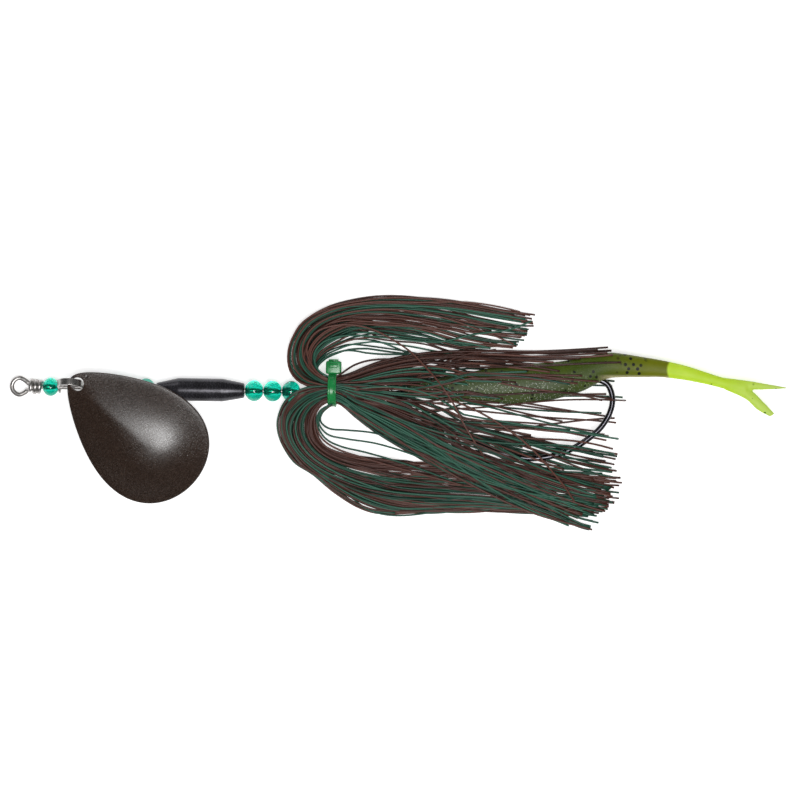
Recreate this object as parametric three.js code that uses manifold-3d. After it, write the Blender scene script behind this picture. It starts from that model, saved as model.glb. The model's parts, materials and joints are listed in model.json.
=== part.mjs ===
// Inline spinnerbait lying on its side, in millimetres, +Z up.
// +X runs from the line eye to the tail of the soft trailer, and the lure lies flat in the XY plane.
// The wire shaft, with all that is threaded on it, slopes up a little from the front bead to the
// tied waist of the skirt; the hook and the trailer lie level behind it.

import * as THREE from 'three';
import { mergeVertices } from 'three/addons/utils/BufferGeometryUtils.js';
import Module from 'manifold-3d';

const wasm = await Module();
wasm.setup();

// ---- Driving dimensions -------------------------------------------------------------------------

const GAP = 0.3; // clearance between touching pieces
const SINK = 0.2; // how far one solid reaches into another that it is joined to

// Shaft: one length of spring wire with a wrapped loop at each end.
const WIRE_R = 0.8;
const BORE_R = WIRE_R + GAP;
const LOOP_R = 2.85; // centre line of both loops
const REAR_LOOP_X = 123.5;
const WRAP_PITCH = 1.45;
const WRAP_R = 1.7; // centre line of the wraps around the shaft
const WRAP_TURNS = 2.3;
const FRONT_WRAP_X = 3.6;
const REAR_WRAP_X = 114.6;
const SHAFT_SLOPE = THREE.MathUtils.degToRad(2.2);

// Glass beads.
const BORE_FLARE = 0.35; // each mouth is this much wider than the bore
const FRONT_BEAD = { x: 10.4, r: 3.15, length: 5.0 };
const BEAD_R = 3.6;
const BEAD_LENGTH = 6.0;
const MID_BEAD_X = [30.4, 36.7, 43.0];
const REAR_BEAD_X = [79.9, 86.2, 92.5];

// Body weight: a cylinder with a cone at each end.
const BODY_PROFILE = [[46.5, 2.1], [54.1, 3.9], [69.2, 3.9], [76.6, 2.5]];

// Clevis: a folded strip whose bight carries the blade.
const CLEVIS_X = 17.45;
const CLEVIS_HEIGHT = 5.4; // shaft axis to the centre of the bight
const CLEVIS_R = 3.9; // centre line of the bight
const CLEVIS_T = 0.7;
const CLEVIS_W = 2.6;
const EAR_R = 2.1;
const CLEVIS_ROLL = THREE.MathUtils.degToRad(12);

// Blade: a domed teardrop, in its own frame from the centre of its hole to its far tip.
const BLADE_X = 20.2; // the hole's place along the shaft
const BLADE_T = 0.8;
const BLADE_FRONT = -3.2;
const BLADE_TIP = 52.0;
const BLADE_HALF_WIDTH = 19.8;
const BLADE_DOME = 5.6;
const BLADE_CROWN_X = 33; // highest point of the dome
const BLADE_DOME_POWER = 1.25; // over 1, the rim flares out a little
const BLADE_TAPER = { front: 0.52, fall: 0.24 }; // narrows the outline towards the hole and rounds its tip
const BLADE_HOLE_R = 2.1;
const BLADE_YAW = THREE.MathUtils.degToRad(-40.5);
const BLADE_ROLL = THREE.MathUtils.degToRad(12.1);

// Skirt waist and the tie around it.
const WAIST_X = 106.6;
const WAIST_Z = 7.0;
const WAIST_Y = 0.8; // the tied waist sits a little to one side of the wire
const WAIST_R = 4.75;
const TIE_INNER_R = WAIST_R + GAP;
const TIE_T = 0.9;
const TIE_W = 3.4;
const TIE_HEAD = { x: 5.4, y: 4.4, z: 4.8, shift: 0.3, lift: 0.1 };
const TIE_NUB = { x: 2.9, y: 1.2, z: 1.4, shift: 0.2, up: 0.62, sink: 1.0 }; // cut tail of the strap

// Hook, in its own frame: the centre of its ring at the origin and the shank along +X.
const HOOK_X = 126.8;
const HOOK_Z = 8.0;
const HOOK_YAW = THREE.MathUtils.degToRad(5.4);
const HOOK_WIRE_R = 1.0;
const HOOK_RING_R = 2.45;
const HOOK_RING_WIRE_R = 0.85;
const HOOK_PATH = [
  [2.6, 0], [34, 0], [60, 0], [68, -0.2], [73, -2.2], [74.6, -7], [73.4, -12], [70, -16.8],
  [65, -20.6], [59, -23.6], [52, -25.4], [44, -25.4], [34, -22.4],
];
const HOOK_TIP = [20, -15.4];
const HOOK_POINT = { r: 0.06, taper: 14 }; // share of the wire's radius at the tip, and how fast it grows
const BARB = { r: 0.55, length: 4.2, back: 6.6, splay: 0.32, offset: [0.5, 0.95] };

// Trailer: a soft split-tail minnow on its side, threaded on the hook.
const TRAILER_UPPER = [
  [130.7, 1.0], [132.5, 2.6], [139.7, 4.9], [148, 6.6], [156, 8.4], [164, 9.9], [174, 11.0],
  [184, 12.0], [194, 14.2], [200, 15.3], [205, 15.0], [212, 14.0],
];
const TRAILER_LOWER = [
  [130.7, 0.8], [132.5, -0.6], [139.7, -1.8], [148, -2.4], [156, -2.7], [164, -2.9], [174, -2.6],
  [184, -0.5], [192, 2.2], [199.5, 6.2], [205, 6.9], [212, 7.1],
];
const TRAILER_HALF_THICKNESS = [1.6, 2.6, 3.9, 4.6, 4.8, 4.8, 4.7, 4.5, 4.0, 3.4, 2.9, 2.2];
const TAIL_UPPER = [
  [212.6, 13.6], [213.6, 13.8], [218, 13.1], [226, 11.5], [234, 9.1], [240, 7.4], [247, 6.4],
];
const TAIL_LOWER = [
  [212.6, 7.4], [213.6, 7.2], [218, 7.2], [226, 6.4], [234, 5.0], [240, 3.6], [247, 2.0],
];
const TAIL_HALF_THICKNESS = [0.6, 1.2, 1.4, 1.4, 1.3, 1.2, 1.1];
const UPPER_PRONG = {
  upper: [[242, 6.8], [248, 6.3], [254, 5.4], [261, 4.6]],
  lower: [[242, 4.4], [248, 3.8], [254, 3.9], [261, 4.0]],
};
const LOWER_PRONG = {
  upper: [[242, 5.6], [248, 3.7], [253, -0.6], [257, -4.2]],
  lower: [[242, 3.2], [247, 0.4], [251, -3.2], [255.4, -5.6]],
};
const PRONG_HALF_THICKNESS = [1.0, 1.0, 0.9, 0.7];

// Skirt: strands tied at the waist, gathered into bundles. Each lobe folds forward over the waist,
// and the other halves of the same strands fan out under the hook and the trailer.
const LOBE_UPPER_OUTER = [
  [97, 3.6], [91.7, 9.6], [91.8, 17.5], [96.8, 24.6],
  [107, 30.4], [124, 33.1], [146, 32.6], [172, 29.4],
];
const LOBE_UPPER_INNER = [
  [101.6, 6.6], [100.4, 9.4], [101.2, 12.8], [104.8, 15.6],
  [112, 17.0], [126, 17.2], [146, 17.6], [172, 18.0],
];
const LOBE_LOWER_OUTER = [
  [95.4, -2.6], [88.4, -7.6], [87.2, -16], [91.6, -24],
  [101.6, -31.4], [118, -39.4], [146, -42.4], [192, -46],
];
const LOBE_LOWER_INNER = [
  [102.2, -5.8], [101, -9], [101.6, -13], [105.4, -17.2],
  [112, -19.6], [124, -21.4], [146, -22.6], [204, -29],
];
const FAN_UPPER_OUTER = [[112.4, 6.4], [122.6, 10.6], [143, 14.0], [166, 15.2], [211, 16.8]];
const FAN_UPPER_INNER = [[112.4, 2.2], [120, 5.2], [138, 5.0], [162, 3.0], [206, 0.6]];
const FAN_LOWER_OUTER = [[112.4, -6.8], [120, -13.4], [128, -18.4], [146, -21.4], [204, -27.6]];
const FAN_LOWER_INNER = [[112.4, -2.2], [120, -5.2], [138, -5.2], [162, -4.2], [206, -1.4]];
const LAYER_HEIGHTS = [ // underside, middle and top of the two layers at each pair of edge points
  [-0.15, 1.5, 3.1], [-0.15, 1.5, 3.1], [-0.15, 1.7, 3.5], [1.0, 4.3, 7.4], [1.0, 6.8, 12.6],
  [1.2, 7.0, 12.8], [1.2, 7.0, 12.8],
  [0.6, 5.0, 9.4], [-0.15, 3.9, 7.6], [-0.15, 3.6, 7.0], [-0.15, 3.3, 6.4], [-0.15, 3.0, 5.8],
  [-0.15, 2.5, 5.0], [-0.15, 2.0, 4.2], [-0.15, 1.5, 3.2],
];
const WAIST_STATION = 5; // first of the two waist points on every edge
const WAIST_HALF_LENGTH = 1.8;
const WAIST_EDGES = { inner: 0.8, outer: 5.0 }; // sideways places of the bundle edges at the waist
const WAIST_INNER_R = 1.9;
const COLLAR_INNER_R = 3.3; // opens behind the waist to clear the wraps
const COLLAR_OUTER_R = 6.6;
const CELLS = 3;
const BUNDLE_GAP = 0.4;
const BUNDLE_END = { size: 0.6, growth: 8 }; // each end is blunt and fills out along the bundle
const BUNDLE_SIDES = 8;
const BUNDLE_STEPS = 24;

// ---- Geometry helpers ---------------------------------------------------------------------------

const lerp = THREE.MathUtils.lerp;
const smooth = (t) => THREE.MathUtils.smoothstep(t, 0, 1);

const toSolid = (geometry) => {
  const plain = geometry.clone();
  for (const name of Object.keys(plain.attributes)) {
    if (name !== 'position') {
      plain.deleteAttribute(name);
    }
  }
  const merged = mergeVertices(plain, 1e-4);
  return new wasm.Manifold(new wasm.Mesh({
    numProp: 3,
    vertProperties: new Float32Array(merged.attributes.position.array),
    triVerts: new Uint32Array(merged.index.array),
  }));
};

const fromSolid = (solid) => {
  const mesh = solid.getMesh();
  const geometry = new THREE.BufferGeometry();
  geometry.setAttribute('position', new THREE.BufferAttribute(new Float32Array(mesh.vertProperties), 3));
  geometry.setIndex(new THREE.BufferAttribute(new Uint32Array(mesh.triVerts), 1));
  geometry.computeVertexNormals();
  return geometry;
};

const join = (...parts) => fromSolid(parts.map(toSolid).reduce((a, b) => a.add(b)));
const cut = (base, ...tools) => fromSolid(
  tools.map(toSolid).reduce((a, b) => a.subtract(b), toSolid(base)),
);

// Turns the faces outwards where a warp has mirrored them.
const facingOut = (geometry) => {
  const index = geometry.index.array;
  const [a, b, c] = [new THREE.Vector3(), new THREE.Vector3(), new THREE.Vector3()];
  let volume = 0;
  for (let i = 0; i < index.length; i += 3) {
    a.fromBufferAttribute(geometry.attributes.position, index[i]);
    b.fromBufferAttribute(geometry.attributes.position, index[i + 1]);
    c.fromBufferAttribute(geometry.attributes.position, index[i + 2]);
    volume += a.dot(b.cross(c));
  }
  if (volume < 0) {
    index.reverse();
  }
  geometry.computeVertexNormals();
  return geometry;
};

// A closed cylinder whose vertices are moved by place(t along, angle, radius 0..1).
const warpedRod = (sides, steps, place) => {
  const geometry = new THREE.CylinderGeometry(1, 1, 1, sides, steps);
  const position = geometry.attributes.position;
  for (let i = 0; i < position.count; i += 1) {
    const x = position.getX(i);
    const z = position.getZ(i);
    const point = place(position.getY(i) + 0.5, Math.atan2(z, x), Math.min(1, Math.hypot(x, z)));
    position.setXYZ(i, point.x, point.y, point.z);
  }
  return facingOut(geometry);
};

const xRod = (radius, x0, x1, sides = 16) => {
  const rod = new THREE.CylinderGeometry(radius, radius, x1 - x0, sides);
  rod.rotateZ(Math.PI / 2);
  rod.translate((x0 + x1) / 2, 0, 0);
  return rod;
};

// Turned piece on the X axis from [x, radius] points; the ends close on the bore.
const turned = (profile, segments) => {
  const points = profile.map(([x, r]) => new THREE.Vector2(r, -x)).reverse();
  points.push(points[0].clone());
  const geometry = new THREE.LatheGeometry(points, segments);
  geometry.rotateZ(Math.PI / 2);
  return geometry;
};

const material = (color, roughness, metalness = 0) => (
  new THREE.MeshStandardMaterial({ color, roughness, metalness })
);

const piece = (name, geometry, look, parent) => {
  const mesh = new THREE.Mesh(geometry, look);
  mesh.name = name;
  parent.add(mesh);
  return mesh;
};

// ---- Materials ----------------------------------------------------------------------------------

const looks = {
  wire: material(0x9a9896, 0.3, 1),
  bead: material(0x0fa08c, 0.08),
  clevis: material(0xb4b2b0, 0.22, 1),
  blade: material(0x2e211b, 0.5, 0.5),
  body: material(0x222124, 0.42, 0.3),
  tie: material(0x25834a, 0.35),
  brown: material(0x4c3833, 0.5),
  green: material(0x2f4a3f, 0.5),
  hook: material(0x1b1b1e, 0.25, 1),
  trailer: material(0x4a5a18, 0.4),
  tail: material(0xa8cc2a, 0.4),
};

// ---- Shaft and everything threaded on it --------------------------------------------------------

const lure = new THREE.Group();

// Sloped frame: x is measured along the shaft from the centre of the line eye.
const rig = new THREE.Group();
rig.position.set(WAIST_X, 0, WAIST_Z);
rig.rotation.y = -SHAFT_SLOPE;
const onShaft = new THREE.Group();
onShaft.position.x = -WAIST_X;
rig.add(onShaft);
lure.add(rig);

const wireLoop = (x) => {
  const loop = new THREE.TorusGeometry(LOOP_R, WIRE_R, 8, 24);
  loop.translate(x, 0, 0);
  return loop;
};

const wraps = (x0) => warpedRod(6, Math.round(WRAP_TURNS * 12), (t, angle, r) => {
  const turn = t * WRAP_TURNS * 2 * Math.PI;
  const reach = WRAP_R + WIRE_R * r * Math.cos(angle);
  return new THREE.Vector3(
    x0 + t * WRAP_TURNS * WRAP_PITCH + WIRE_R * r * Math.sin(angle),
    reach * Math.cos(turn),
    reach * Math.sin(turn),
  );
});

const wrapCore = (x0) => {
  const overhang = WIRE_R * 0.4;
  return xRod(WRAP_R, x0 - overhang, x0 + WRAP_TURNS * WRAP_PITCH + overhang, 14);
};

piece('wire_shaft', join(
  xRod(WIRE_R, LOOP_R - SINK, REAR_LOOP_X - LOOP_R + SINK, 12),
  wireLoop(0),
  wireLoop(REAR_LOOP_X),
  wraps(FRONT_WRAP_X),
  wrapCore(FRONT_WRAP_X),
  wraps(REAR_WRAP_X),
  wrapCore(REAR_WRAP_X),
), looks.wire, onShaft);

// Oblate bead with a drilled bore, from mouth to mouth.
const beadGeometry = (x, radius, length) => {
  const profile = [];
  const steps = 6;
  const start = Math.asin((BORE_R + BORE_FLARE) / radius);
  const squash = length / 2 / Math.cos(start);
  for (let i = 0; i <= steps; i += 1) {
    const a = lerp(start, Math.PI - start, i / steps);
    profile.push([x - squash * Math.cos(a), radius * Math.sin(a)]);
  }
  profile.push([x + length / 2, BORE_R], [x - length / 2, BORE_R]);
  return turned(profile, 16);
};

piece('bead_front', beadGeometry(FRONT_BEAD.x, FRONT_BEAD.r, FRONT_BEAD.length), looks.bead, onShaft);
MID_BEAD_X.forEach((x, i) => {
  piece(`bead_mid_${i + 1}`, beadGeometry(x, BEAD_R, BEAD_LENGTH), looks.bead, onShaft);
});
REAR_BEAD_X.forEach((x, i) => {
  piece(`bead_rear_${i + 1}`, beadGeometry(x, BEAD_R, BEAD_LENGTH), looks.bead, onShaft);
});

const bodyEnds = [[BODY_PROFILE[3][0], BORE_R], [BODY_PROFILE[0][0], BORE_R]];
piece('body_weight', turned([...BODY_PROFILE, ...bodyEnds], 28), looks.body, onShaft);

// Cable tie: a strap ring drawn through a square head, its tail cut off short.
const strap = new THREE.LatheGeometry([
  new THREE.Vector2(TIE_INNER_R, -TIE_W / 2),
  new THREE.Vector2(TIE_INNER_R + TIE_T, -TIE_W / 2),
  new THREE.Vector2(TIE_INNER_R + TIE_T, TIE_W / 2),
  new THREE.Vector2(TIE_INNER_R, TIE_W / 2),
  new THREE.Vector2(TIE_INNER_R, -TIE_W / 2),
], 32);
strap.rotateZ(Math.PI / 2);
strap.rotateX(Math.PI / 32);
const tieHead = new THREE.BoxGeometry(TIE_HEAD.x, TIE_HEAD.y, TIE_HEAD.z);
tieHead.translate(TIE_HEAD.shift, TIE_INNER_R + TIE_HEAD.lift + TIE_HEAD.y / 2, 0);
const tieNub = new THREE.BoxGeometry(TIE_NUB.x, TIE_NUB.y, TIE_NUB.z + TIE_NUB.sink);
tieNub.translate(
  TIE_NUB.shift,
  TIE_INNER_R + TIE_HEAD.y * TIE_NUB.up,
  (TIE_HEAD.z + TIE_NUB.z - TIE_NUB.sink) / 2,
);
const tie = piece('cable_tie', join(strap, tieHead, tieNub), looks.tie, onShaft);
tie.position.set(WAIST_X, WAIST_Y, 0);

// Clevis: the strip runs up from the front ear, over the bight and down to the rear ear.
const clevisFrame = new THREE.Group();
clevisFrame.position.x = CLEVIS_X;
clevisFrame.rotation.x = -CLEVIS_ROLL;
onShaft.add(clevisFrame);

const fold = new THREE.Shape();
fold.moveTo(CLEVIS_R + CLEVIS_T / 2, 0);
fold.lineTo(CLEVIS_R + CLEVIS_T / 2, CLEVIS_HEIGHT);
fold.absarc(0, CLEVIS_HEIGHT, CLEVIS_R + CLEVIS_T / 2, 0, Math.PI, false);
fold.lineTo(-CLEVIS_R - CLEVIS_T / 2, 0);
fold.lineTo(-CLEVIS_R + CLEVIS_T / 2, 0);
fold.lineTo(-CLEVIS_R + CLEVIS_T / 2, CLEVIS_HEIGHT);
fold.absarc(0, CLEVIS_HEIGHT, CLEVIS_R - CLEVIS_T / 2, Math.PI, 0, true);
fold.lineTo(CLEVIS_R - CLEVIS_T / 2, 0);
const strip = new THREE.ExtrudeGeometry(fold, { depth: CLEVIS_W, bevelEnabled: false, curveSegments: 12 });
strip.rotateX(Math.PI / 2);
strip.translate(0, CLEVIS_W / 2, 0);
const ears = [-1, 1].map((side) => (
  xRod(EAR_R, side * CLEVIS_R - CLEVIS_T / 2, side * CLEVIS_R + CLEVIS_T / 2, 20)
));
const clevisBore = xRod(BORE_R, -CLEVIS_R * 2, CLEVIS_R * 2, 16);
piece('clevis', cut(join(strip, ...ears), clevisBore), looks.clevis, clevisFrame);

// Blade: a disc drawn out to the teardrop outline and raised to a dome, then pierced.
const bladeOutline = (angle) => {
  const along = (1 - Math.cos(angle)) / 2;
  const taper = BLADE_TAPER.front + along - BLADE_TAPER.fall * along * along;
  return new THREE.Vector2(
    lerp(BLADE_FRONT, BLADE_TIP, along),
    BLADE_HALF_WIDTH * Math.sin(angle) * taper,
  );
};
const bladeCentre = new THREE.Vector2(BLADE_CROWN_X, 0);
const domeAt = (rho) => BLADE_DOME * Math.max(0, 1 - rho * rho) ** BLADE_DOME_POWER;
const holeRho = bladeCentre.x / (bladeCentre.x - BLADE_FRONT);
const rings = 7;
const disc = [new THREE.Vector2(0, -BLADE_T / 2)];
for (let i = 1; i <= rings; i += 1) {
  disc.push(new THREE.Vector2(i / rings, -BLADE_T / 2));
}
for (let i = rings; i >= 1; i -= 1) {
  disc.push(new THREE.Vector2(i / rings, BLADE_T / 2));
}
disc.push(new THREE.Vector2(0, BLADE_T / 2));
const shell = new THREE.LatheGeometry(disc, 36);
const shellPoints = shell.attributes.position;
for (let i = 0; i < shellPoints.count; i += 1) {
  const rho = Math.min(1, Math.hypot(shellPoints.getX(i), shellPoints.getZ(i)));
  const side = shellPoints.getY(i);
  const angle = Math.atan2(shellPoints.getZ(i), shellPoints.getX(i));
  const spot = bladeOutline(angle).sub(bladeCentre).multiplyScalar(rho).add(bladeCentre);
  shellPoints.setXYZ(i, spot.x, spot.y, side + domeAt(rho) - domeAt(holeRho));
}
const bladeHole = new THREE.CylinderGeometry(BLADE_HOLE_R, BLADE_HOLE_R, 10 * BLADE_T, 24);
bladeHole.rotateX(Math.PI / 2);
const bladeFrame = new THREE.Group();
bladeFrame.position.set(
  BLADE_X,
  CLEVIS_HEIGHT * Math.sin(CLEVIS_ROLL),
  CLEVIS_HEIGHT * Math.cos(CLEVIS_ROLL),
);
bladeFrame.rotation.set(BLADE_ROLL, 0, BLADE_YAW);
onShaft.add(bladeFrame);
piece('blade', cut(facingOut(shell), bladeHole), looks.blade, bladeFrame);

// ---- Skirt --------------------------------------------------------------------------------------

// Every bundle runs from its rear tip through the waist and round the front fold to its lobe tip.
// Edge 0 starts nearest the shaft at the waist, edge 1 furthest from it.
const edgeCurve = (fan, waistY, lobe) => new THREE.CatmullRomCurve3([
  ...fan.toReversed(),
  [WAIST_X + WAIST_HALF_LENGTH, waistY],
  [WAIST_X - WAIST_HALF_LENGTH, waistY],
  ...lobe,
].map(([x, y]) => new THREE.Vector3(x, y, 0)));

const heightCurve = (k) => new THREE.CatmullRomCurve3(
  LAYER_HEIGHTS.map((heights, i) => new THREE.Vector3(i, 0, heights[k])),
);

const stationCount = LAYER_HEIGHTS.length - 1;
const heights = [0, 1, 2].map(heightCurve);

// 1 where the bundles are sectors of the round waist, 0 where they are flat slabs.
const roundness = (station) => {
  if (station < WAIST_STATION) {
    return smooth(station - (WAIST_STATION - 2));
  }
  return smooth(WAIST_STATION + 2 - station);
};

const bundlePoint = (edges, side, top, cell, station, across, up) => {
  const t = station / stationCount;
  const inner = edges[0].getPoint(t);
  const outer = edges[1].getPoint(t);
  const layer = top ? [1, 2] : [0, 1];
  const [low, high] = layer.map((k) => heights[k].getPoint(t).z);
  const within = (lowEnd, highEnd, f, width) => {
    const inset = Math.min(0.4 * (highEnd - lowEnd), (0.5 * BUNDLE_GAP) / width);
    return lerp(lowEnd + inset, highEnd - inset, f);
  };
  const f = (across + 1) / 2;
  const g = (up + 1) / 2;
  const share = within(cell / CELLS, (cell + 1) / CELLS, f, inner.distanceTo(outer));
  const slab = inner.clone().lerp(outer, share);
  slab.z = lerp(low, high, within(0, 1, g, high - low));

  const behind = smooth(WAIST_STATION - station);
  const r0 = lerp(WAIST_INNER_R, COLLAR_INNER_R, behind);
  const r1 = lerp(WAIST_R, COLLAR_OUTER_R, behind);
  const radius = lerp(r0, r1, top ? g : 1 - g);
  const turn = within(cell / CELLS, (cell + 1) / CELLS, f, radius * Math.PI / 2);
  const angle = (1 - turn) * Math.PI / 2;
  const sector = new THREE.Vector3(
    slab.x,
    lerp(WAIST_Y, 0, behind) + side * radius * Math.cos(angle),
    WAIST_Z + (top ? 1 : -1) * radius * Math.sin(angle),
  );
  return slab.lerp(sector, roundness(station));
};

const skirtSides = [
  {
    name: 'upper',
    side: 1,
    edges: [
      edgeCurve(FAN_UPPER_INNER, WAIST_EDGES.inner, LOBE_UPPER_OUTER),
      edgeCurve(FAN_UPPER_OUTER, WAIST_EDGES.outer, LOBE_UPPER_INNER),
    ],
  },
  {
    name: 'lower',
    side: -1,
    edges: [
      edgeCurve(FAN_LOWER_INNER, -WAIST_EDGES.inner, LOBE_LOWER_OUTER),
      edgeCurve(FAN_LOWER_OUTER, -WAIST_EDGES.outer, LOBE_LOWER_INNER),
    ],
  },
];
const cellNames = ['outer', 'middle', 'inner'];

for (const { name, side, edges } of skirtSides) {
  for (const top of [true, false]) {
    for (let cell = 0; cell < CELLS; cell += 1) {
      const geometry = warpedRod(BUNDLE_SIDES, BUNDLE_STEPS, (t, angle, r) => {
        const square = (v) => Math.sign(v) * Math.sqrt(Math.abs(v)) * r;
        const end = Math.min(1, BUNDLE_END.size + BUNDLE_END.growth * Math.min(t, 1 - t));
        const across = square(Math.cos(angle)) * end;
        const up = square(Math.sin(angle)) * end;
        return bundlePoint(edges, side, top, cell, t * stationCount, across, up);
      });
      const look = (cell + (top ? 0 : 1)) % 2 ? looks.green : looks.brown;
      piece(`skirt_${name}_${top ? 'top' : 'bottom'}_${cellNames[cell]}`, geometry, look, lure);
    }
  }
}

// ---- Hook and trailer ---------------------------------------------------------------------------

const hookFrame = new THREE.Group();
hookFrame.position.set(HOOK_X, 0, HOOK_Z);
hookFrame.rotation.z = HOOK_YAW;
lure.add(hookFrame);

const flatCurve = (points) => (
  new THREE.CatmullRomCurve3(points.map(([x, y]) => new THREE.Vector3(x, y, 0)))
);
const hookCurve = flatCurve([...HOOK_PATH, HOOK_TIP]);

const wireAlong = (curve, radius, sides, steps, taper) => warpedRod(sides, steps, (t, angle, r) => {
  const centre = curve.getPointAt(t);
  const tangent = curve.getTangentAt(t);
  const reach = radius * r * taper(t);
  return new THREE.Vector3(
    centre.x - tangent.y * reach * Math.cos(angle),
    centre.y + tangent.x * reach * Math.cos(angle),
    -reach * Math.sin(angle),
  );
});

const ring = new THREE.TorusGeometry(HOOK_RING_R, HOOK_RING_WIRE_R, 8, 24);
ring.rotateX(Math.PI / 2);
const hookWire = wireAlong(hookCurve, HOOK_WIRE_R, 8, 44, (t) => (
  Math.min(1, HOOK_POINT.r + (1 - t) * HOOK_POINT.taper)
));
const tip = new THREE.Vector2(...HOOK_TIP);
const arm = new THREE.Vector2(...HOOK_PATH.at(-1)).sub(tip).normalize();
const barbPlace = tip.clone().addScaledVector(arm, BARB.back).add(new THREE.Vector2(...BARB.offset));
const barb = new THREE.ConeGeometry(BARB.r, BARB.length, 8);
barb.rotateZ(arm.angle() - Math.PI / 2 + BARB.splay);
barb.translate(barbPlace.x, barbPlace.y, 0);
piece('hook', join(ring, hookWire, barb), looks.hook, hookFrame);

const upperEdge = flatCurve(TRAILER_UPPER);
const lowerEdge = flatCurve(TRAILER_LOWER);
const thickness = flatCurve(TRAILER_HALF_THICKNESS.map((h, i) => [i, h]));
const minnow = warpedRod(14, 22, (t, angle, r) => {
  const upper = upperEdge.getPoint(t);
  const lower = lowerEdge.getPoint(t);
  const centre = upper.clone().add(lower).multiplyScalar(0.5);
  const half = upper.sub(lower).multiplyScalar(0.5);
  return new THREE.Vector3(
    centre.x + half.x * r * Math.cos(angle),
    centre.y + half.y * r * Math.cos(angle),
    HOOK_Z - thickness.getPoint(t).y * r * Math.sin(angle),
  );
});
const channel = wireAlong(hookCurve, HOOK_WIRE_R + GAP, 8, 44, () => 1);
channel.rotateZ(HOOK_YAW);
channel.translate(HOOK_X, 0, HOOK_Z);
piece('trailer_body', cut(minnow, channel), looks.trailer, lure);

// The tail is a flat trunk, rounded where it meets the body, that splits into two prongs.
const flatLobe = (upper, lower, halfThickness, steps) => {
  const top = flatCurve(upper);
  const bottom = flatCurve(lower);
  const thick = flatCurve(halfThickness.map((h, i) => [i, h]));
  return warpedRod(12, steps, (t, angle, r) => {
    const high = top.getPoint(t);
    const low = bottom.getPoint(t);
    return new THREE.Vector3(
      lerp(low.x, high.x, 0.5 + 0.5 * r * Math.cos(angle)),
      lerp(low.y, high.y, 0.5 + 0.5 * r * Math.cos(angle)),
      HOOK_Z - thick.getPoint(t).y * r * Math.sin(angle),
    );
  });
};
const trunk = flatLobe(TAIL_UPPER, TAIL_LOWER, TAIL_HALF_THICKNESS, 14);
const upperProng = flatLobe(UPPER_PRONG.upper, UPPER_PRONG.lower, PRONG_HALF_THICKNESS, 6);
const lowerProng = flatLobe(LOWER_PRONG.upper, LOWER_PRONG.lower, PRONG_HALF_THICKNESS, 6);
piece('trailer_tail', join(trunk, upperProng, lowerProng), looks.tail, lure);

// ---- Origin: the middle of the bounding box, on the surface that the lure lies on ----------------

lure.updateMatrixWorld(true);
const box = new THREE.Box3().setFromObject(lure, true);
const middle = box.getCenter(new THREE.Vector3());
const spinnerbait = new THREE.Group();
lure.position.set(-middle.x, -middle.y, -box.min.z);
spinnerbait.add(lure);
spinnerbait.updateMatrixWorld(true);

export default spinnerbait;
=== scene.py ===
"""Spinnerbait: the visible model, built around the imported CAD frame. Guide points are in millimetres."""

import json
import math

import bmesh
import bpy
import numpy as np
from mathutils import Matrix, Vector


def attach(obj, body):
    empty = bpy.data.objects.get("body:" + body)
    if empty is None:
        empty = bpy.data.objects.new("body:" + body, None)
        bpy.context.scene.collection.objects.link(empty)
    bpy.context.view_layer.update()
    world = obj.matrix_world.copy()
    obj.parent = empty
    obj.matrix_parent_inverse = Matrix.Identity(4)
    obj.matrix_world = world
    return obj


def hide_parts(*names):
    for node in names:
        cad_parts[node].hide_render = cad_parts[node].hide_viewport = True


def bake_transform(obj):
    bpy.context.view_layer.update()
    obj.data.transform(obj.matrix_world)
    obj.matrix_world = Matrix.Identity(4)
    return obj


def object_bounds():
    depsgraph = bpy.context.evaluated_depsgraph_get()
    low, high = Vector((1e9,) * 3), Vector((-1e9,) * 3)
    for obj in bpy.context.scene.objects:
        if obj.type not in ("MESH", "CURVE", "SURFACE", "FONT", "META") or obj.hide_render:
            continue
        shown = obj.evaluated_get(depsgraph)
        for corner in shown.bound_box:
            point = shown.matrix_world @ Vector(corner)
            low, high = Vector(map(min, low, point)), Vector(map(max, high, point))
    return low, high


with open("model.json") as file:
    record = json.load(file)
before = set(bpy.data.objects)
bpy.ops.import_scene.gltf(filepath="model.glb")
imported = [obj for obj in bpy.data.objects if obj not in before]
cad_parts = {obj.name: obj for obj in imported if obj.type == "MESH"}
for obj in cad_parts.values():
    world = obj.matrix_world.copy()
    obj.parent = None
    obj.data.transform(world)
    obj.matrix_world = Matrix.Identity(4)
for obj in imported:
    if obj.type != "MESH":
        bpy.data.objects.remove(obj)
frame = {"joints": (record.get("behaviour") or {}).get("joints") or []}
CAD_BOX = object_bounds()
RNG = np.random.default_rng(7)
MM = 0.001

# ---- Frame ----

JOINTS = {j["name"]: j for j in frame["joints"]}
HOOK_PIVOT = np.array([126.8, 0.0, 8.0])  # the hook ring's centre in lure coordinates, in mm
ORIGIN = np.array(JOINTS["hook_lift"]["pos_m"]) / MM - HOOK_PIVOT
SHAFT_DIR = np.array(JOINTS["clevis_spin"]["axis"])
WAIST = np.array([106.6, 0.0, 7.0])
WAIST_Y = 0.8
WIRE_R = 0.8
STRAND_R = 0.335


def row(points):
    """Lure coordinates in mm to the row frame in metres."""
    return (np.asarray(points, float) + ORIGIN) * MM


def shaft_frame(points):
    """Points given as (along the shaft from the line eye, across, up) in mm, to lure coordinates."""
    p = np.asarray(points, float).reshape(-1, 3)
    up = np.array([-SHAFT_DIR[2], 0, SHAFT_DIR[0]])
    side = np.array([0, 1.0, 0])
    return WAIST + (p[:, :1] - WAIST[0]) * SHAFT_DIR + p[:, 1:2] * side + p[:, 2:] * up


# ---- Meshes ----


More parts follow.
